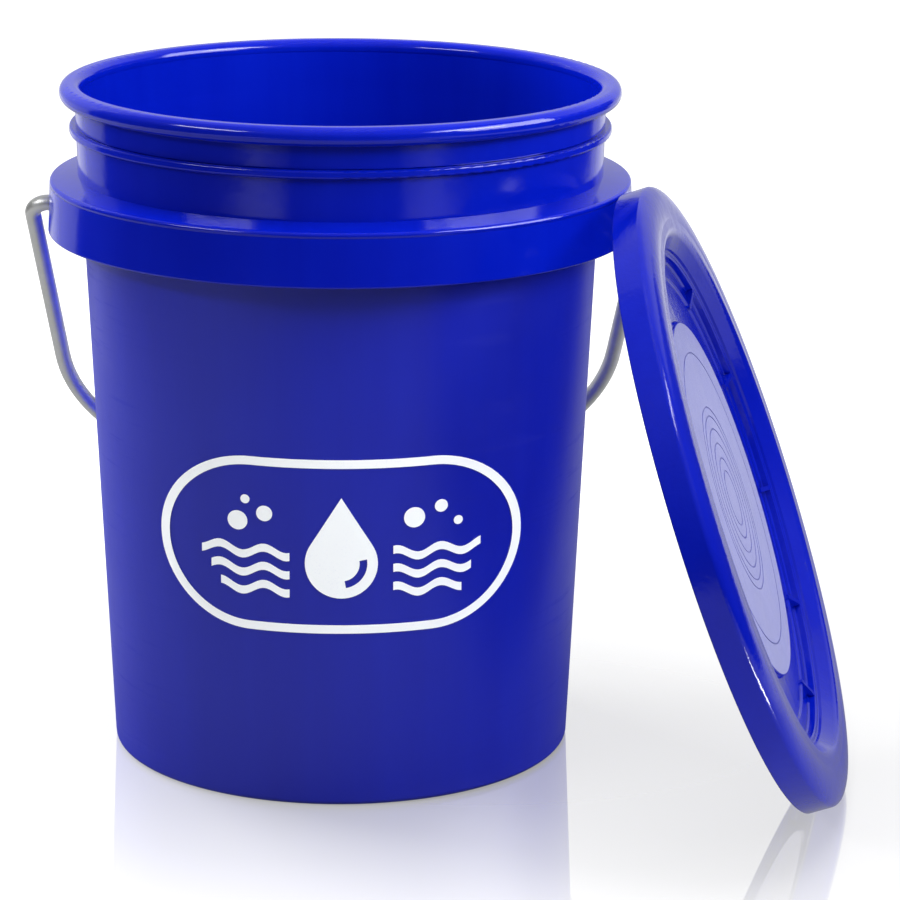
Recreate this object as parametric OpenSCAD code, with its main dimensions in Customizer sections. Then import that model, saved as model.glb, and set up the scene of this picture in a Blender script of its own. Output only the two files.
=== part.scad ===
// Wash bucket: an open-top pail with a press-on lid and a wire bail.
// The bucket stands on z = 0 with its centre line on the Z axis.
// The bail turns about a line parallel to X through the two ears.
// The lid stands on its edge beside the bucket and leans on the collar.

/* [Bucket] */
// Height from the floor to the top of the rim
bucket_h = 368; // [360:1:376]
// Outer radius of the wall at the floor
bottom_r = 126.4; // [125:0.1:127]
// Outer radius of the wall at the foot of the collar
shoulder_r = 139.1; // [138.6:0.1:139.3]
// Thickness of the side wall
wall_t = 2.4; // [2.2:0.1:2.6]
// Thickness of the bottom
floor_t = 3; // [2.6:0.1:3.4]
// Height of the ring the bucket stands on
foot_h = 3; // [2:0.5:4]

/* [Rim and collar] */
// Outer radius of the rolled rim
rim_r = 151; // [150.6:0.1:151.2]
// Height of the rolled rim
rim_h = 10; // [9.6:0.1:10]
// Outer radius of the thin rib under the rim
rib_r = 146; // [145:0.5:147]
// Outer radius of the collar at its lower edge
collar_r = 158.3; // [158:0.1:158.5]
// Depth of the collar below its shoulder
collar_h = 31; // [28:0.5:31]
// Number of gussets hidden inside the collar
gusset_count = 20; // [12:4:20]

/* [Bail] */
// Diameter of the bail wire
wire_d = 8.7; // [6:0.1:8.8]
// Half the width of the bail at the ears
bail_w = 167.7; // [167.2:0.1:168.5]
// Length of each straight leg, from the ear to the start of the curve
leg_h = 130.8; // [126:0.2:136]
// Radius of the two large curves of the bail
bend_r = 115; // [108:1:118]
// Inward lean of each leg from square to the ears, in degrees
leg_lean = 4.6; // [3.6:0.1:5]
// Angle between the hanging bail and straight down
bail_hang = 37.5; // [37.5:0.5:60]

/* [Grip] */
// Outer radius of the grip at its end beads
grip_r = 12; // [10:0.5:12]
// Length of the grip
grip_l = 80; // [60:1:80]

/* [Lid] */
// Outer radius of the lid
lid_r = 170; // [168:0.5:171]
// Height of the lid's side band
lid_h = 19.5; // [18:0.1:21]
// Width of the rounding between the side band and the face ring
crown_w = 15; // [10:0.5:16]
// Depth of that rounding
crown_h = 6.5; // [5:0.1:7]
// Thickness of the lid's outer skin
lid_t = 2.8; // [2.6:0.1:3]
// Radius of the raised centre panel
panel_r = 97; // [90:1:102]
// Number of short ribs under the ledge of the recess
lid_ribs = 12; // [8:2:16]
// Number of snap webs inside the side band
lid_webs = 24; // [16:4:24]
// Where the lid is drawn: leaning on the collar or closed on the rim
lid_place = "leaning"; // ["leaning", "on_rim"]
// Steepness of the leaning lid, as the angle between it and upright
lid_lean = 19.79; // [16:0.01:22]
// Direction the leaning lid faces, from +X towards +Y
lid_turn = -10.61; // [-14:0.01:-8]
// Sideways shift of the leaning lid along the floor
lid_shift = -64; // [-68:0.1:-60]
// Turn of the lid about its own centre
lid_spin = 16; // [0:1:30]

/* [Printed badge] */
// Width of the printed badge as seen from the front
badge_w = 190; // [170:1:200]
// Height of the printed badge
badge_h = 95; // [86:1:100]
// Height of the badge's centre above the floor
badge_z = 145; // [130:1:170]
// Thickness of the print
ink_t = 0.2; // [0.15:0.05:0.3]

/* [Hidden] */
$fn = 128;

blue = [0.03, 0.06, 0.62];
white = [0.92, 0.94, 0.95];
steel = [0.72, 0.73, 0.72];
rubber = [0.08, 0.08, 0.09];

// Heights on the bucket
rim_z = bucket_h - rim_h;
rib_z = bucket_h - 24.7;
collar_top = bucket_h - 49.4;
collar_z = collar_top - collar_h;
ear_z = bucket_h - 67;
floor_z = foot_h + floor_t;
rim_in = rim_r - 11.6;
neck_r = rim_r - 9;

// Bail, in its own plane: the middle rod is mid_x long each way, then come a
// large curve, a straight leg and a tight bend into the ear
mid_x = bail_w - tan(leg_lean) * leg_h - bend_r * cos(leg_lean);
bail_drop = leg_h + bend_r * (1 - sin(leg_lean));
wire_r = wire_d / 2;
ear_bend = 8.5;
ear_turn = 90 + leg_lean;
ear_tan = ear_bend * tan(ear_turn / 2);
leg_l = leg_h / cos(leg_lean) - ear_tan;
stub_l = bail_w - ear_tan - (collar_r - 10);
hole_r = wire_r + 0.35;
// Straight wire is drawn this much thinner than the bends, which bulge a little
draw = 0.02;

// Lid heights above its lower edge
plate_z = lid_h - lid_t;
seal_t = 1.2;
panel_z = lid_h - 11.8;
channel_z = lid_h - 14.5;
ledge_z = lid_h - 9.3;
plug_r = rim_in - 0.5;
closed_z = bucket_h + seal_t - plate_z;

// Leaning lid: its lower corner stands on the floor, and its back edge meets
// the collar's circle, with a little room for the edge of the collar
lean_gap = 0.7;
lean_z = lid_r * cos(lid_lean) - 0.6 * sin(lid_lean);
lean_x = max([for (t = [60 : 0.25 : 120])
    let (h = lean_z * (1 + sin(t)), side = lid_shift + lid_r * cos(t))
    (h > collar_z - 3 && h < collar_top + 1)
        ? lid_r * sin(lid_lean) * sin(t)
          + sqrt(pow(collar_r + lean_gap, 2) - pow(side, 2))
        : 0]);

// Points on an arc about (x, y) from angle a to angle b
function arc(x, y, r, a, b, n = 8) = oval(x, y, r, r, a, b, n);

// The same on an ellipse, rx wide and ry high
function oval(x, y, rx, ry, a, b, n = 8) =
    [for (i = [0 : n]) [x + rx * cos(a + (b - a) * i / n), y + ry * sin(a + (b - a) * i / n)]];

// Outer radius of the tapered wall at a height
function wall_r(z) = bottom_r + (shoulder_r - bottom_r) * z / collar_z;

// Rectangle with four round corners
module round_bar(x, y, w, h, r) {
    translate([x + r, y]) square([w - 2 * r, h]);
    translate([x, y + r]) square([w, h - 2 * r]);
    for (i = [x + r, x + w - r], j = [y + r, y + h - r])
        translate([i, j]) circle(r = r, $fn = 64);
}

// Half section of the wall and bottom
module wall_section() {
    polygon(concat(
        [[0, 0], [20, 0], [20, foot_h], [bottom_r - 8, foot_h], [bottom_r - 8, 0]],
        arc(bottom_r - 3, 3, 3, -90, -2),
        [[shoulder_r, collar_z], [neck_r - 0.1, collar_top], [neck_r + 0.8, rim_z + 1],
         [neck_r + 0.8, rim_z + 5], [rim_in, rim_z + 5], [rim_in - 0.4, rim_z - 18],
         [shoulder_r - wall_t, collar_z]],
        arc(wall_r(floor_z) - wall_t - 6, floor_z + 6, 6, 0, -90),
        [[0, floor_z]]
    ));
}

// Half section of the collar: a sloping shoulder and a hanging skirt
module collar_section() {
    t = 2.6;
    polygon(concat(
        [[neck_r - 1.5, collar_top - 0.2 - t], [neck_r - 1.5, collar_top], [neck_r, collar_top]],
        arc(collar_r - 3.2, collar_top - 4.2, 2, 82, 3),
        arc(collar_r - 1, collar_z + 1, 1, 0, -90, 5),
        arc(collar_r - t + 0.9, collar_z + 0.9, 0.9, -90, -180, 4),
        [[collar_r - t - 1.1, collar_top - 4.6 - t + 1.2]],
        [[collar_r - t - 2.6, collar_top - 2 - t]]
    ));
}

// Half section of the rolled rim, open underneath
module rim_section() {
    difference() {
        round_bar(rim_in, rim_z, rim_r - rim_in, rim_h, 4.6);
        translate([neck_r + 1.3, rim_z - 1]) square([2.9, 7.4]);
    }
}

module gusset() {
    rotate([90, 0, 0]) linear_extrude(2, center = true)
        polygon([[shoulder_r - 0.9, collar_z + 3], [collar_r - 2.1, collar_z + 3],
                 [collar_r - 2.7, collar_top - 5], [neck_r - 1, collar_top - 1.4]]);
}

module ear_boss() {
    translate([collar_r - 6.8, 0, ear_z]) rotate([0, 90, 0]) cylinder(r = 10.5, h = 5.2);
}

module ear_hole() {
    translate([collar_r - 8, 0, ear_z]) rotate([0, 90, 0]) cylinder(r = hole_r, h = 12);
}

module bucket() {
    color(blue) difference() {
        union() {
            rotate_extrude() wall_section();
            rotate_extrude() collar_section();
            rotate_extrude() rim_section();
            rotate_extrude() round_bar(neck_r - 1.5, rib_z - 2.3, rib_r - neck_r + 1.5, 4.6, 1.4);
            for (i = [0 : gusset_count - 1])
                rotate([0, 0, (i + 0.5) * 360 / gusset_count]) gusset();
            for (s = [0, 180]) rotate([0, 0, s]) ear_boss();
            for (i = [0 : 7]) rotate([0, 0, i * 45])
                translate([18, -1.5, 0]) cube([bottom_r - 25, 3, foot_h + 1]);
        }
        for (s = [0, 180]) rotate([0, 0, s]) ear_hole();
    }
}

// Outline of a falling drop, point up
function drop(r, h) = let (a = asin(r / (h - r)))
    concat([[0, h - r]], arc(0, 0, r, 180 - a, 360 + a, 40));

// A wavy bar along x
module wave(x0, x1, y, amp, len, t) {
    n = 28;
    polygon(concat(
        [for (i = [0 : n]) let (x = x0 + (x1 - x0) * i / n)
            [x, y + t / 2 + amp * sin(360 * x / len)]],
        [for (i = [n : -1 : 0]) let (x = x0 + (x1 - x0) * i / n)
            [x, y - t / 2 + amp * sin(360 * x / len)]]
    ));
}

// Generic badge: a stadium frame with a drop, waves and bubbles
module badge_outline() {
    r = badge_h / 2;
    line = 4.6;
    difference() {
        round_bar(-badge_w / 2, -r, badge_w, badge_h, r - 0.1);
        round_bar(-badge_w / 2 + line, -r + line, badge_w - 2 * line, badge_h - 2 * line, r - line - 0.1);
    }
    translate([0, -9]) difference() {
        polygon(drop(19, 55));
        polygon(concat(arc(0, 0, 13.5, -80, 10, 14), arc(0, 0, 9.5, 10, -80, 14)));
    }
    for (s = [-1, 1]) for (k = [0 : 2])
        wave(s > 0 ? 27 : -27 - 46 + 5 * k, s > 0 ? 27 + 46 - 5 * k : -27, -4 - 10 * k, 2.2, 23, 4.4);
    for (b = [[38, 15, 5.5], [52, 20, 3.4], [61, 11, 2.4], [-40, 17, 4.2], [-54, 12, 5.2], [-50, 24, 2.4]])
        translate([b[0], b[1]]) circle(r = b[2], $fn = 48);
}

module printed_badge() {
    color(white) rotate([0, 0, -0.9]) intersection() {
        difference() {
            translate([0, 0, badge_z - 60])
                cylinder(r1 = wall_r(badge_z - 60) + 0.02 + ink_t, r2 = wall_r(badge_z + 60) + 0.02 + ink_t, h = 120);
            translate([0, 0, badge_z - 60])
                cylinder(r1 = wall_r(badge_z - 60) + 0.02, r2 = wall_r(badge_z + 60) + 0.02, h = 120);
        }
        translate([0, 0, badge_z]) rotate([90, 0, 0]) linear_extrude(200) badge_outline();
    }
}

// Straight wire along x; what follows it starts at its far end
module rod(l) {
    translate([-0.05, 0, 0]) rotate([0, 90, 0]) cylinder(r = wire_r - draw, h = l + 0.1, $fn = 64);
    translate([l, 0, 0]) children();
}

// Wire bent to the right by an angle; what follows it starts at its far end
module bend(r, a) {
    translate([0, -r, 0]) {
        rotate_extrude(angle = a, start = 90 - a) translate([r, 0]) circle(r = wire_r, $fn = 64);
        rotate([0, 0, -a]) translate([0, r, 0]) children();
    }
}

// One half of the bail wire, from the middle to the upset head behind the ear
module half_wire() {
    rod(mid_x) bend(bend_r, 90 - leg_lean) rod(leg_l) bend(ear_bend, ear_turn) rod(stub_l)
        translate([-1.5, 0, 0]) rotate([0, 90, 0]) cylinder(r = wire_r + 2.6, h = 3);
}

// Puts the bail's plane at its hanging angle behind the bucket
module hang() {
    translate([0, 0, ear_z]) rotate([bail_hang - 90, 0, 0]) children();
}

module bail() {
    color(steel) hang() translate([0, bail_drop, 0]) {
        half_wire();
        mirror([1, 0, 0]) half_wire();
    }
}

module grip() {
    color(white) hang() translate([-grip_l / 2, bail_drop, 0]) rotate([0, 90, 0])
        difference() {
            union() {
                cylinder(r = grip_r - 1.6, h = grip_l);
                for (z = [2.4, grip_l - 2.4]) translate([0, 0, z])
                    rotate_extrude() translate([grip_r - 2.4, 0]) circle(r = 2.4, $fn = 48);
                for (i = [-2 : 2]) translate([0, 0, grip_l / 2 + i * 12])
                    rotate_extrude() translate([grip_r - 2.4, 0]) circle(r = 1.5, $fn = 48);
            }
            translate([0, 0, -1]) cylinder(r = wire_r + 0.35, h = grip_l + 2);
        }
}

// Half section of the lid: side band, hollow face ring, plug, ledge,
// channel and raised centre panel
module lid_section() {
    t = lid_t;
    difference() {
        polygon(concat(
            [[lid_r - 0.6, 0], [lid_r, 0.6]],
            oval(lid_r - crown_w, lid_h - crown_h, crown_w, crown_h, 0, 90, 14),
            arc(plug_r + 7.2, lid_h - 7, 7, 90, 140, 10),
            [[plug_r - 2.5, lid_h - 7.4], [plug_r - 2.8, ledge_z + 0.5], [plug_r - 3.3, ledge_z],
             [plug_r - 5.3, ledge_z], [plug_r - 5.9, ledge_z - 0.6],
             [plug_r - 6.2, channel_z + 1.6], [plug_r - 7, channel_z + 0.8],
             [plug_r - 16, channel_z + 0.8], [plug_r - 16.8, channel_z],
             [panel_r + 1.2, channel_z], [panel_r, channel_z + 1.2]],
            arc(panel_r - 1, panel_z - 1, 1, 0, 90, 4),
            [[0, panel_z], [0, panel_z - 2.4], [panel_r - 3, panel_z - 2.4],
             [panel_r - 2.4, channel_z - 2.4], [plug_r - 2.2, channel_z - 2.4],
             [plug_r - 0.8, channel_z - 1]],
            arc(plug_r + 5.1, plate_z - seal_t - 4.6, 4.95, 180, 90, 8),
            [[plug_r + 6.4, plate_z]],
            oval(lid_r - crown_w, lid_h - crown_h, crown_w - t, crown_h - t, 90, 0, 10),
            [[lid_r - t, 0]]
        ));
        for (r = [15, 22, 30, 38, 45, 50, 80])
            translate([r - 0.4, panel_z - 0.35]) square([0.8, 1]);
    }
}

// A web that centres the rim, with a lug that snaps under it
module snap_web() {
    // lower edge of the rim when the lid is on
    z = plate_z - seal_t - rim_h;
    rotate([90, 0, 0]) linear_extrude(2, center = true)
        polygon([[lid_r - lid_t + 1, z - 2.9], [rim_r - 1.4, z - 2.9], [rim_r - 1.8, z - 1.9],
                 [rim_r - 1.2, z - 0.9], [rim_r + 1.2, z + 1.3], [rim_r + 1.2, plate_z + 1],
                 [lid_r - crown_w, plate_z + 1], [lid_r - crown_w * 0.45, lid_h - crown_h * 0.4],
                 [lid_r - lid_t + 1, lid_h - crown_h - 0.5]]);
}

// A short rib between the ledge and the bottom of the channel
module channel_rib() {
    rotate([90, 0, 0]) linear_extrude(2.6, center = true)
        polygon([[plug_r - 5, channel_z - 1], [plug_r - 5, ledge_z - 0.3], [plug_r - 8, ledge_z - 0.9],
                 [plug_r - 17, channel_z + 1.2], [plug_r - 17, channel_z - 1]]);
}

module place_lid() {
    if (lid_place == "on_rim") translate([0, 0, closed_z]) children();
    else rotate([0, 0, lid_turn]) translate([lean_x, lid_shift, lean_z])
        rotate([0, 90 - lid_lean, 0]) rotate([0, 0, lid_spin]) children();
}

module lid() {
    color(blue) place_lid() union() {
        rotate_extrude() lid_section();
        for (i = [0 : lid_webs - 1]) rotate([0, 0, (i + 0.5) * 360 / lid_webs]) snap_web();
        for (i = [0 : lid_ribs - 1]) rotate([0, 0, i * 360 / lid_ribs]) channel_rib();
    }
}

module lid_gasket() {
    color(rubber) place_lid() rotate_extrude()
        translate([plug_r + 6.5, plate_z - seal_t]) square([rim_r - plug_r - 7.6, seal_t]);
}

bucket();
printed_badge();
bail();
grip();
lid();
lid_gasket();
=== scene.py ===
import math

import bmesh
import bpy
from mathutils import Matrix, Vector

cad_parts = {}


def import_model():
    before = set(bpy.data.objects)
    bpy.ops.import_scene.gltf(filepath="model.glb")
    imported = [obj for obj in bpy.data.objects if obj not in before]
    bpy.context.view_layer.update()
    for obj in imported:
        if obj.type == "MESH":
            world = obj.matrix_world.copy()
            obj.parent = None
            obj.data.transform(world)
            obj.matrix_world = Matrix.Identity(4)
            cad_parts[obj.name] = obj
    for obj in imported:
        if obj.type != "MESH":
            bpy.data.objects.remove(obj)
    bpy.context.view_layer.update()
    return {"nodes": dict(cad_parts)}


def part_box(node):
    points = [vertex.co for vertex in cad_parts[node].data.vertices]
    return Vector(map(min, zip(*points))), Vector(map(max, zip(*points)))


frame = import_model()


scene = bpy.context.scene
nodes = frame["nodes"]


# ---------------------------------------------------------------- node helpers
class Mat:
    """A material's node tree, with short calls for the nodes it uses."""

    def __init__(self, name):
        self.m = bpy.data.materials.new(name)
        self.m.use_nodes = True
        self.t = self.m.node_tree
        self.t.nodes.clear()
        self.out = self.t.nodes.new("ShaderNodeOutputMaterial")

    def n(self, kind, **props):
        node = self.t.nodes.new(kind)
        for k, v in props.items():
            setattr(node, k, v)
        return node

    def link(self, a, b):
        self.t.links.new(a, b)

    def set(self, node, **vals):
        for k, v in vals.items():
            node.inputs[k.replace("_", " ")].default_value = v

    def math(self, op, a, b=None, c=None, clamp=False):
        node = self.n("ShaderNodeMath", operation=op, use_clamp=clamp)
        for i, x in enumerate((a, b, c)):
            if x is None:
                continue
            if isinstance(x, (int, float)):
                node.inputs[i].default_value = x
            else:
                self.link(x, node.inputs[i])
        return node.outputs[0]

    def mapping(self, src, scale=(1, 1, 1), loc=(0, 0, 0), rot=(0, 0, 0)):
        node = self.n("ShaderNodeMapping")
        node.inputs["Scale"].default_value = scale
        node.inputs["Location"].default_value = loc
        node.inputs["Rotation"].default_value = rot
        self.link(src, node.inputs["Vector"])
        return node.outputs["Vector"]

    def noise(self, vec, scale, detail=3.0, rough=0.5, out="Fac"):
        node = self.n("ShaderNodeTexNoise")
        node.inputs["Scale"].default_value = scale
        node.inputs["Detail"].default_value = detail
        node.inputs["Roughness"].default_value = rough
        self.link(vec, node.inputs["Vector"])
        return node.outputs[out]

    def ramp(self, src, stops, interp="LINEAR"):
        node = self.n("ShaderNodeValToRGB")
        cr = node.color_ramp
        cr.interpolation = interp
        while len(cr.elements) > 1:
            cr.elements.remove(cr.elements[-1])
        cr.elements[0].position, cr.elements[0].color = stops[0][0], stops[0][1]
        for p, c in stops[1:]:
            e = cr.elements.new(p)
            e.color = c
        self.link(src, node.inputs["Fac"])
        return node.outputs["Color"]

    def range(self, src, lo, hi, a, b):
        node = self.n("ShaderNodeMapRange")
        for k, v in (("From Min", lo), ("From Max", hi), ("To Min", a), ("To Max", b)):
            node.inputs[k].default_value = v
        self.link(src, node.inputs["Value"])
        return node.outputs["Result"]

    def mix(self, fac, a, b):
        node = self.n("ShaderNodeMix", data_type="RGBA")
        for sock, x in ((node.inputs["Factor"], fac), (node.inputs[6], a), (node.inputs[7], b)):
            if isinstance(x, (int, float)):
                sock.default_value = x
            elif isinstance(x, tuple):
                sock.default_value = x
            else:
                self.link(x, sock)
        return node.outputs[2]

    def bump(self, height, strength, distance, normal=None):
        node = self.n("ShaderNodeBump")
        node.inputs["Strength"].default_value = strength
        node.inputs["Distance"].default_value = distance
        self.link(height, node.inputs["Height"])
        if normal is not None:
            self.link(normal, node.inputs["Normal"])
        return node.outputs["Normal"]

    def clamp(self, v, lo, hi):
        return self.math("MINIMUM", self.math("MAXIMUM", v, lo), hi)

    def vec(self, op, a, b=None, scale=None):
        node = self.n("ShaderNodeVectorMath", operation=op)
        for sock, x in ((node.inputs[0], a), (node.inputs[1], b)):
            if isinstance(x, (tuple, Vector)):
                sock.default_value = x
            elif x is not None:
                self.link(x, sock)
        if scale is not None:
            self.link(scale, node.inputs["Scale"])
        return node.outputs["Value"] if op in ("LENGTH", "DOT_PRODUCT") else node.outputs[0]

    def mix_vec(self, fac, a, b):
        node = self.n("ShaderNodeMix", data_type="VECTOR")
        self.link(fac, node.inputs["Factor"])
        self.link(a, node.inputs[4])
        self.link(b, node.inputs[5])
        return node.outputs[1]

    def near(self, v, want, tol):
        """1 where v is within tol of want, else 0."""
        return self.math("LESS_THAN", self.math("ABSOLUTE", self.math("SUBTRACT", v, want)), tol)

    def principled(self, **vals):
        node = self.n("ShaderNodeBsdfPrincipled")
        self.set(node, **vals)
        self.link(node.outputs[0], self.out.inputs["Surface"])
        return node


def grey(v):
    return (v, v, v, 1.0)


# ---------------------------------------------------------------- materials
def lid_frame():
    """Centre and axis of the lid, from the gasket's flat ring faces."""
    me = nodes["lid_gasket"].data
    lo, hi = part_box("lid_gasket")
    mid = (Vector(lo) + Vector(hi)) / 2
    big = max(me.polygons, key=lambda f: round(abs(f.normal.x), 4) * 10 + f.area)
    n = big.normal.copy()
    return mid, n if n.x > 0 else -n


def colour_and_skin(m, co, p, dark, mid, light, grain_scale, grain):
    """Pigment drift, flow streaks and a fine moulded skin shared by the plastics."""
    drift = m.noise(co, 9, 2)
    flow = m.noise(m.mapping(co, (70, 70, 4)), 1.0, 3, 0.6)
    blend = m.math("ADD", m.math("MULTIPLY", drift, 0.6), m.math("MULTIPLY", flow, 0.4))
    m.link(m.ramp(blend, [(0.32, dark), (0.5, mid), (0.68, light)]), p.inputs["Base Color"])
    fine = m.noise(co, grain_scale, 2, 0.6)
    return fine, grain


def turned_normal(m, base, out_dir, axis, r, h, shapes):
    """The true normal of turned roundings in place of the faceted one. Each
    shape is the core of a rounded bar in radius and height, the two half widths
    of the rounding about that core, and the radii between which it holds."""
    for r0, r1, h0, h1, a, b, lo, hi in shapes:
        dr = m.math("SUBTRACT", r, m.clamp(r, r0, r1))
        dh = m.math("SUBTRACT", h, m.clamp(h, h0, h1))
        ur, uh = m.math("DIVIDE", dr, a), m.math("DIVIDE", dh, b)
        d = m.math("SQRT", m.math("ADD", m.math("MULTIPLY", ur, ur), m.math("MULTIPLY", uh, uh)))
        mask = m.math("MULTIPLY", m.near(d, 1.0, 0.0003 / min(a, b)), m.near(r, (lo + hi) / 2, (hi - lo) / 2))
        n = m.vec("ADD", m.vec("SCALE", out_dir, scale=m.math("DIVIDE", ur, a)),
                  m.vec("SCALE", axis, scale=m.math("DIVIDE", uh, b)))
        turn = m.n("ShaderNodeVectorTransform", vector_type="NORMAL", convert_from="OBJECT", convert_to="WORLD")
        m.link(m.vec("NORMALIZE", n), turn.inputs[0])
        base = m.mix_vec(mask, base, turn.outputs[0])
    return base


def bucket_plastic():
    """Satin on the side wall, polished on the neck, rim, collar and inside."""
    m = Mat("blue_plastic")
    co = m.n("ShaderNodeTexCoord").outputs["Object"]
    p = m.principled(IOR=1.49)
    fine, _ = colour_and_skin(m, co, p, (0.0005, 0.0055, 0.305, 1), (0.0006, 0.0068, 0.33, 1), (0.001, 0.0088, 0.36, 1), 1500, 0.1)
    sep = m.n("ShaderNodeSeparateXYZ")
    m.link(co, sep.inputs[0])
    x, y, z = sep.outputs
    rad = m.math("SQRT", m.math("ADD", m.math("MULTIPLY", x, x), m.math("MULTIPLY", y, y)))
    # radius of the outer wall at this height, less the distance from the axis
    wall = m.math("ADD", m.math("MULTIPLY", z, 0.04416), 0.1264 - 0.0012)
    outer = m.range(m.math("SUBTRACT", rad, wall), -0.0004, 0.0004, 0.0, 1.0)
    below = m.range(z, 0.2862, 0.2874, 1.0, 0.0)
    side = m.math("MULTIPLY", outer, below)
    patch = m.noise(co, 24, 4, 0.65)
    rough = m.math("ADD", m.math("MULTIPLY", side, 0.27), m.range(patch, 0.3, 0.7, 0.09, 0.13))
    # rubbed and scuffed bands where buckets nest and stand
    scuff = m.noise(m.mapping(co, (14, 14, 260)), 1.0, 4, 0.7)
    foot = m.range(z, 0.0, 0.012, 1.0, 0.0)
    nest = m.math("MULTIPLY", m.range(scuff, 0.58, 0.72, 0.0, 0.09), side)
    rough = m.math("ADD", m.math("ADD", rough, nest), m.math("MULTIPLY", foot, 0.12))
    m.link(rough, p.inputs["Roughness"])
    peel = m.noise(co, 170, 2, 0.5)
    flat = m.n("ShaderNodeCombineXYZ")
    m.link(x, flat.inputs[0])
    m.link(y, flat.inputs[1])
    zed = m.n("ShaderNodeCombineXYZ")
    zed.inputs[2].default_value = 1.0
    skin = turned_normal(m, m.n("ShaderNodeNewGeometry").outputs["Normal"], m.vec("NORMALIZE", flat.outputs[0]),
                         zed.outputs[0], rad, z, [
        (0.1440, 0.1464, 0.3626, 0.3634, 0.0046, 0.0046, 0.130, 0.155),
        (0.1419, 0.1446, 0.3424, 0.3442, 0.0014, 0.0014, 0.1421, 0.150),
        (0.1551, 0.1551, 0.3144, 0.3144, 0.002, 0.002, 0.1551, 0.160),
    ])
    n1 = m.bump(peel, 0.10, 0.0005, skin)
    n2 = m.bump(fine, 0.08, 0.0002, n1)
    m.link(n2, p.inputs["Normal"])
    return m.m


def lid_plastic():
    """Polished band and face; a matt, sparked centre panel."""
    m = Mat("lid_plastic")
    co = m.n("ShaderNodeTexCoord").outputs["Object"]
    p = m.principled(IOR=1.49)
    fine, _ = colour_and_skin(m, co, p, (0.0005, 0.0052, 0.31, 1), (0.0006, 0.0065, 0.34, 1), (0.001, 0.0085, 0.37, 1), 1500, 0.1)
    mid, axis = LID_MID, LID_AXIS
    off = m.n("ShaderNodeVectorMath", operation="SUBTRACT")
    m.link(co, off.inputs[0])
    off.inputs[1].default_value = mid
    along = m.n("ShaderNodeVectorMath", operation="CROSS_PRODUCT")
    m.link(off.outputs[0], along.inputs[0])
    along.inputs[1].default_value = axis
    ln = m.n("ShaderNodeVectorMath", operation="LENGTH")
    m.link(along.outputs[0], ln.inputs[0])
    radius = ln.outputs["Value"]
    dot = m.n("ShaderNodeVectorMath", operation="DOT_PRODUCT")
    m.link(off.outputs[0], dot.inputs[0])
    dot.inputs[1].default_value = axis
    panel = m.range(radius, 0.0962, 0.0968, 1.0, 0.0)
    patch = m.noise(co, 30, 4, 0.65)
    rough = m.math("ADD", m.math("MULTIPLY", panel, 0.22), m.range(patch, 0.3, 0.7, 0.10, 0.15))
    m.link(rough, p.inputs["Roughness"])
    m.link(m.math("MULTIPLY", panel, 0.7), p.inputs["Sheen Weight"])
    p.inputs["Sheen Roughness"].default_value = 0.35
    p.inputs["Sheen Tint"].default_value = (0.92, 0.94, 1.0, 1)
    # slow waviness of thick sections, which breaks up the long highlights
    wave = m.noise(co, 55, 3, 0.55)
    peel = m.noise(co, 420, 2, 0.5)
    spark = m.math("MULTIPLY", m.noise(co, 1900, 2, 0.6), m.math("ADD", m.math("MULTIPLY", panel, 0.9), 0.1))
    up = m.n("ShaderNodeCombineXYZ")
    for i in range(3):
        up.inputs[i].default_value = axis[i]
    rise = m.vec("SCALE", up.outputs[0], scale=dot.outputs["Value"])
    out_dir = m.vec("NORMALIZE", m.vec("SUBTRACT", off.outputs[0], rise))
    skin = turned_normal(m, m.n("ShaderNodeNewGeometry").outputs["Normal"], out_dir, up.outputs[0], radius, dot.outputs["Value"], [
        (0.155, 0.155, -0.0161, -0.0031, 0.015, 0.0065, 0.150, 0.172),
        (0.1461, 0.155, -0.0036, -0.0036, 0.007, 0.007, 0.1405, 0.150),
    ])
    n1 = m.bump(wave, 0.20, 0.0012, skin)
    n2 = m.bump(peel, 0.22, 0.0004, n1)
    n3 = m.bump(spark, 0.22, 0.0003, n2)
    m.link(n3, p.inputs["Normal"])
    return m.m


LID_MID, LID_AXIS = lid_frame()
BLUE = bucket_plastic()
LID = lid_plastic()


def print_ink():
    m = Mat("white_print")
    co = m.n("ShaderNodeTexCoord").outputs["Object"]
    p = m.principled(IOR=1.45)
    speck = m.noise(co, 1100, 3, 0.7)
    thin = m.noise(co, 70, 4, 0.6)
    f = m.math("MULTIPLY", m.range(speck, 0.55, 0.75, 0.0, 1.0), m.range(thin, 0.4, 0.75, 0.05, 0.5), clamp=True)
    m.link(m.mix(f, (0.95, 0.98, 1.0, 1), (0.55, 0.62, 0.80, 1)), p.inputs["Base Color"])
    m.link(m.range(thin, 0.3, 0.7, 0.42, 0.58), p.inputs["Roughness"])
    m.link(m.bump(speck, 0.15, 0.0002), p.inputs["Normal"])
    return m.m


def wire():
    m = Mat("wire")
    co = m.n("ShaderNodeTexCoord").outputs["Object"]
    p = m.principled(Metallic=1.0)
    spangle = m.noise(co, 140, 4, 0.7)
    drawn = m.noise(m.mapping(co, (900, 900, 60)), 1.0, 2)
    m.link(m.ramp(spangle, [(0.3, (0.84, 0.85, 0.84, 1)), (0.7, (0.93, 0.94, 0.93, 1))]), p.inputs["Base Color"])
    m.link(m.range(spangle, 0.3, 0.7, 0.42, 0.52), p.inputs["Roughness"])
    m.link(m.bump(drawn, 0.04, 0.0001), p.inputs["Normal"])
    return m.m


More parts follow.
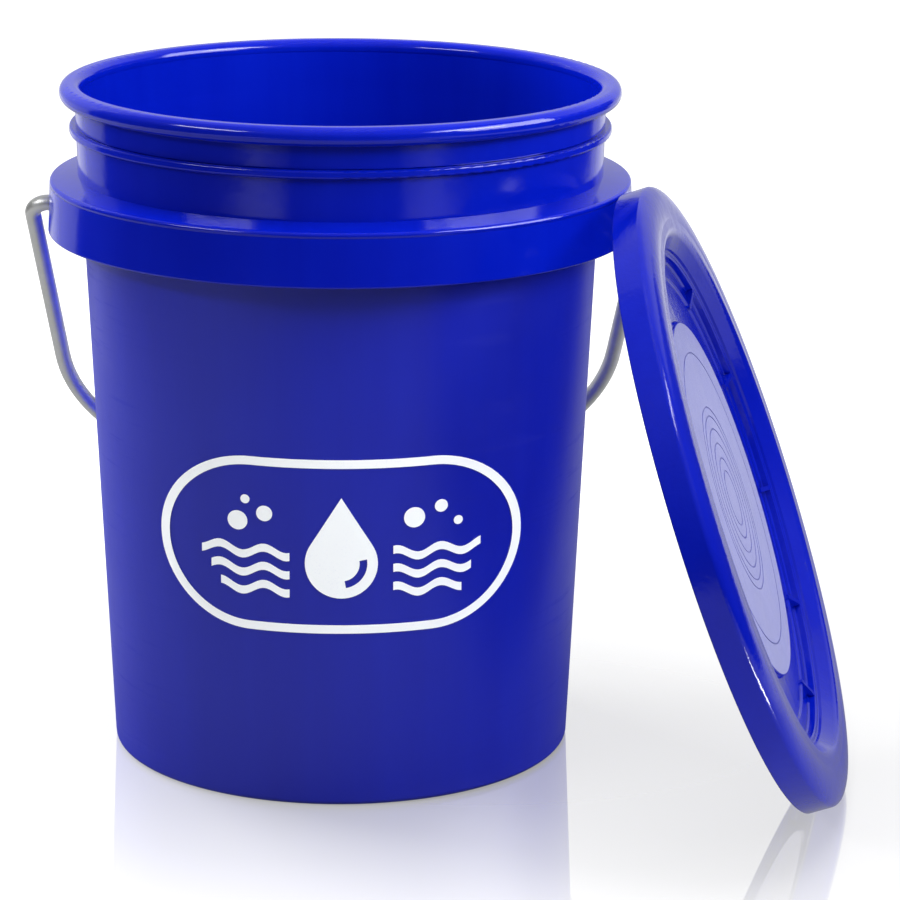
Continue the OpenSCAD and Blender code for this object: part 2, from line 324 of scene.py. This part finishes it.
def grip_plastic():
    m = Mat("grip_plastic")
    co = m.n("ShaderNodeTexCoord").outputs["Object"]
    p = m.principled(IOR=1.46)
    drift = m.noise(co, 60, 3)
    grain = m.noise(co, 1400, 2)
    m.link(m.ramp(drift, [(0.3, (0.56, 0.57, 0.56, 1)), (0.7, (0.64, 0.64, 0.63, 1))]), p.inputs["Base Color"])
    m.link(m.range(drift, 0.3, 0.7, 0.34, 0.46), p.inputs["Roughness"])
    m.link(m.bump(grain, 0.15, 0.0003), p.inputs["Normal"])
    return m.m


def rubber():
    m = Mat("seal_rubber")
    co = m.n("ShaderNodeTexCoord").outputs["Object"]
    p = m.principled(IOR=1.5)
    bloom = m.noise(co, 90, 4, 0.6)
    grain = m.noise(co, 1600, 2)
    m.link(m.ramp(bloom, [(0.35, (0.018, 0.018, 0.02, 1)), (0.7, (0.045, 0.045, 0.048, 1))]), p.inputs["Base Color"])
    m.link(m.range(bloom, 0.3, 0.7, 0.6, 0.8), p.inputs["Roughness"])
    m.link(m.bump(grain, 0.2, 0.0003), p.inputs["Normal"])
    return m.m


MATS = {
    "bucket": BLUE,
    "printed_badge": print_ink(),
    "bail": wire(),
    "grip": grip_plastic(),
    "lid": LID,
    "lid_gasket": rubber(),
}
for name, mat in MATS.items():
    o = nodes[name]
    o.data.materials.clear()
    o.data.materials.append(mat)

# ---------------------------------------------------------------- stage
def floor():
    """A white sweep: white to the camera with a faint mirror image near the object and painted shade round its feet.
    To what the object reflects it is a painted glow, dim in front and bright behind, with painted light pools and
    painted contact shade."""
    me = bpy.data.meshes.new("floor")
    bm = bmesh.new()
    bmesh.ops.create_grid(bm, x_segments=8, y_segments=8, size=9.0)
    bm.to_mesh(me)
    bm.free()
    o = bpy.data.objects.new("floor", me)
    o.location = (0, 0, -0.0004)
    scene.collection.objects.link(o)
    m = Mat("floor")
    pos = m.n("ShaderNodeNewGeometry").outputs["Position"]
    sep = m.n("ShaderNodeSeparateXYZ")
    m.link(pos, sep.inputs[0])
    x, y, _ = sep.outputs
    dx = m.math("MULTIPLY", m.math("SUBTRACT", x, 0.08), 0.74)
    r = m.math("SQRT", m.math("ADD", m.math("MULTIPLY", dx, dx), m.math("MULTIPLY", y, y)))
    fac = m.range(r, 0.11, 0.42, 0.50, 0.0)
    lp = m.n("ShaderNodeLightPath")
    diff = m.n("ShaderNodeBsdfDiffuse")
    diff.inputs["Color"].default_value = grey(0.30)
    em = m.n("ShaderNodeEmission")
    # the glow is dimmed towards the objects: painted shade round their feet, added to the real shadows the diffuse
    # part catches
    m.link(m.range(r, 0.22, 0.60, 0.70, 1.02), em.inputs["Strength"])
    add = m.n("ShaderNodeAddShader")
    m.link(diff.outputs[0], add.inputs[0])
    m.link(em.outputs[0], add.inputs[1])
    gl = m.n("ShaderNodeBsdfGlossy")
    gl.inputs["Roughness"].default_value = 0.0
    gl.inputs["Color"].default_value = grey(1.0)
    shown = m.n("ShaderNodeMixShader")
    m.link(fac, shown.inputs[0])
    m.link(add.outputs[0], shown.inputs[1])
    m.link(gl.outputs[0], shown.inputs[2])
    quiet = m.n("ShaderNodeBsdfDiffuse")
    quiet.inputs["Color"].default_value = grey(0.5)
    # what the objects reflect of the floor is a painted glow standing in for lit paper, as wide as a roll, with two
    # painted light pools in front of it
    wide = m.math("ABSOLUTE", m.math("SUBTRACT", x, 0.02))
    reach = m.math("SQRT", m.math("ADD", m.math("MULTIPLY", x, x), m.math("MULTIPLY", y, y)))
    near = m.range(reach, 0.72, 1.0, 1.0, 0.0)
    behind = m.math("MINIMUM", m.range(m.math("ADD", y, m.math("MULTIPLY", x, 0.60)), -0.02, 0.04, 0.0, 1.0),
                    m.range(m.math("ADD", y, m.math("MULTIPLY", x, -0.445)), -0.02, 0.04, 0.0, 1.0))
    edge = m.math("SUBTRACT", x, m.math("MULTIPLY", m.math("MAXIMUM", m.math("SUBTRACT", y, 1.2), 0.0), 0.6))
    behind = m.math("MULTIPLY", behind, m.range(edge, 1.20, 1.27, 1.0, 0.0))
    sheet = m.math("MAXIMUM", near, behind)
    painted_light_pool = m.math("MULTIPLY", m.math("MULTIPLY", m.range(wide, 0.56, 0.60, 0.0, 1.0), m.range(wide, 1.02, 1.06, 1.0, 0.0)),
                  m.range(y, -1.42, -1.38, 0.0, 1.0))
    far = m.range(y, 0.3, 1.6, 0.40, 0.62)
    # the reflected glow is darker towards the objects' feet: painted contact shade
    painted_contact_shade = m.range(r, 0.10, 0.26, 0.35, 1.0)
    painted_paper_glow = m.n("ShaderNodeEmission")
    m.link(m.math("ADD", m.math("MULTIPLY", m.math("MULTIPLY", m.math("MAXIMUM", sheet, m.math("MULTIPLY", painted_light_pool, 1.5)), far), painted_contact_shade), 0.03),
           painted_paper_glow.inputs["Strength"])
    bounce = m.n("ShaderNodeMixShader")
    m.link(lp.outputs["Is Glossy Ray"], bounce.inputs[0])
    m.link(quiet.outputs[0], bounce.inputs[1])
    m.link(painted_paper_glow.outputs[0], bounce.inputs[2])
    pick = m.n("ShaderNodeMixShader")
    m.link(lp.outputs["Is Camera Ray"], pick.inputs[0])
    m.link(bounce.outputs[0], pick.inputs[1])
    m.link(shown.outputs[0], pick.inputs[2])
    # open to a view from underneath
    under = m.n("ShaderNodeMixShader")
    m.link(m.n("ShaderNodeNewGeometry").outputs["Backfacing"], under.inputs[0])
    m.link(pick.outputs[0], under.inputs[1])
    m.link(m.n("ShaderNodeBsdfTransparent").outputs[0], under.inputs[2])
    m.link(under.outputs[0], m.out.inputs["Surface"])
    o.data.materials.append(m.m)
    return o


floor()


def world():
    w = bpy.data.worlds.new("studio")
    scene.world = w
    w.use_nodes = True
    t = w.node_tree
    t.nodes.clear()
    out = t.nodes.new("ShaderNodeOutputWorld")
    co = t.nodes.new("ShaderNodeTexCoord")
    sep = t.nodes.new("ShaderNodeSeparateXYZ")
    t.links.new(co.outputs["Generated"], sep.inputs[0])

    def node(op, a, b=None, c=None):
        q = t.nodes.new("ShaderNodeMath")
        q.operation = op
        for k, v in enumerate((a, b, c)):
            if v is None:
                continue
            if isinstance(v, (int, float)):
                q.inputs[k].default_value = v
            else:
                t.links.new(v, q.inputs[k])
        return q.outputs[0]

    def ramp(v, a, b, lo, hi):
        q = t.nodes.new("ShaderNodeMapRange")
        q.interpolation_type = "SMOOTHSTEP"
        for k, u in (("From Min", a), ("From Max", b), ("To Min", lo), ("To Max", hi)):
            q.inputs[k].default_value = u
        t.links.new(v, q.inputs["Value"])
        return q.outputs[0]

    # a white sweep stands behind, the room in front is dark
    x, y, z = sep.outputs
    turn = node("ARCTAN2", x, y)
    left = ramp(turn, math.radians(-62), math.radians(-58), 0.0, 1.0)
    spread = ramp(z, 0.12, 0.50, 0.0, math.radians(38))
    right_ = ramp(node("SUBTRACT", turn, spread), math.radians(34), math.radians(38), 1.0, 0.0)
    high = ramp(z, 0.42, 0.75, 1.0, 0.5)
    sweep = node("MULTIPLY", node("MULTIPLY", left, right_), high)
    room = ramp(z, -0.1, 0.9, 0.06, 0.30)
    level = node("ADD", room, node("MULTIPLY", sweep, 0.60))
    lit = t.nodes.new("ShaderNodeBackground")
    t.links.new(level, lit.inputs["Strength"])
    seen = t.nodes.new("ShaderNodeBackground")
    seen.inputs["Strength"].default_value = 1.02
    lp = t.nodes.new("ShaderNodeLightPath")
    # plain white to the camera and in the floor's mirror image
    plain = t.nodes.new("ShaderNodeMath")
    plain.operation = "MAXIMUM"
    t.links.new(lp.outputs["Is Camera Ray"], plain.inputs[0])
    t.links.new(lp.outputs["Is Singular Ray"], plain.inputs[1])
    mx = t.nodes.new("ShaderNodeMixShader")
    t.links.new(plain.outputs[0], mx.inputs[0])
    t.links.new(lit.outputs[0], mx.inputs[1])
    t.links.new(seen.outputs[0], mx.inputs[2])
    t.links.new(mx.outputs[0], out.inputs["Surface"])


world()


def area(name, loc, target, size, power, mirrored=True, color=(1, 1, 1)):
    d = bpy.data.lights.new(name, "AREA")
    d.shape = "RECTANGLE"
    d.size, d.size_y = size
    d.energy = power
    d.color = color
    o = bpy.data.objects.new(name, d)
    o.location = loc
    o.rotation_euler = (Vector(target) - Vector(loc)).to_track_quat("-Z", "Y").to_euler()
    scene.collection.objects.link(o)
    o.visible_camera = False
    o.visible_glossy = mirrored
    return o


def aim(az, el, dist):
    """A place at a bearing from -Y towards +X, a height angle and a distance."""
    a, e = math.radians(az), math.radians(el)
    return (dist * math.cos(e) * math.sin(a), -dist * math.cos(e) * math.cos(a), 0.2 + dist * math.sin(e))


mid = (0, 0, 0.22)
area("key_left", aim(-56, 31, 1.9), mid, (1.0, 0.75), 4, False)
area("core_left", aim(-56, 31, 1.88), mid, (0.9, 0.17), 8)
area("key_right", aim(54, 31, 1.9), mid, (1.0, 0.75), 6, False)
core = area("core_right", aim(53, 32, 1.88), mid, (0.95, 0.18), 9)
area("fill_left", aim(-130, 25, 1.6), mid, (0.9, 0.9), 50, False)
area("soft_top", (0.05, -0.3, 1.95), mid, (1.0, 1.0), 26, False)
# light from the right that reaches the bucket past the leaning lid
past = area("fill_right", aim(70, 28, 1.7), mid, (1.3, 1.0), 33)
blockers = bpy.data.collections.new("fill_right_blockers")
for name in ("bucket", "printed_badge", "bail", "grip"):
    blockers.objects.link(nodes[name])
past.light_linking.blocker_collection = blockers
past.light_linking.receiver_collection = blockers
core.light_linking.receiver_collection = blockers
# a lift for the lid's face, and the table's glint along its lower shoulder
lids = bpy.data.collections.new("lid_lit")
for name in ("lid", "lid_gasket"):
    lids.objects.link(nodes[name])
lift = area("fill_lid", aim(80, 62, 1.7), mid, (0.9, 0.9), 9, False)
lift.light_linking.receiver_collection = lids
high = area("core_lid", aim(54, 45, 1.88), mid, (0.95, 0.16), 8)
high.light_linking.receiver_collection = lids
glint = area("glint_low", aim(54, -24, 1.6), mid, (0.9, 0.10), 12)
glint.light_linking.receiver_collection = lids
glint.light_linking.blocker_collection = lids

# ---------------------------------------------------------------- camera
yaw, pitch, roll = math.radians(2.678), math.radians(15.138), math.radians(0.422)
fwd = Vector((math.sin(yaw) * math.cos(pitch), math.cos(yaw) * math.cos(pitch), -math.sin(pitch)))
right = Vector((math.cos(yaw), -math.sin(yaw), 0))
up = right.cross(fwd)
r2 = right * math.cos(roll) + up * math.sin(roll)
u2 = -right * math.sin(roll) + up * math.cos(roll)
cd = bpy.data.cameras.new("camera")
cd.sensor_fit = "HORIZONTAL"
cd.sensor_width = 36.0
cd.lens = 3627.85 / 900 * 36
cd.clip_end = 30
cd.clip_start = 0.05
cam = bpy.data.objects.new("camera", cd)
rot = Matrix((r2, u2, -fwd)).transposed()
cam.matrix_world = Matrix.Translation((-0.03041, -1.93586, 0.6855)) @ rot.to_4x4()
scene.collection.objects.link(cam)
scene.camera = cam

scene.view_settings.view_transform = "Standard"
scene.view_settings.look = "None"
scene.cycles.use_denoising = True
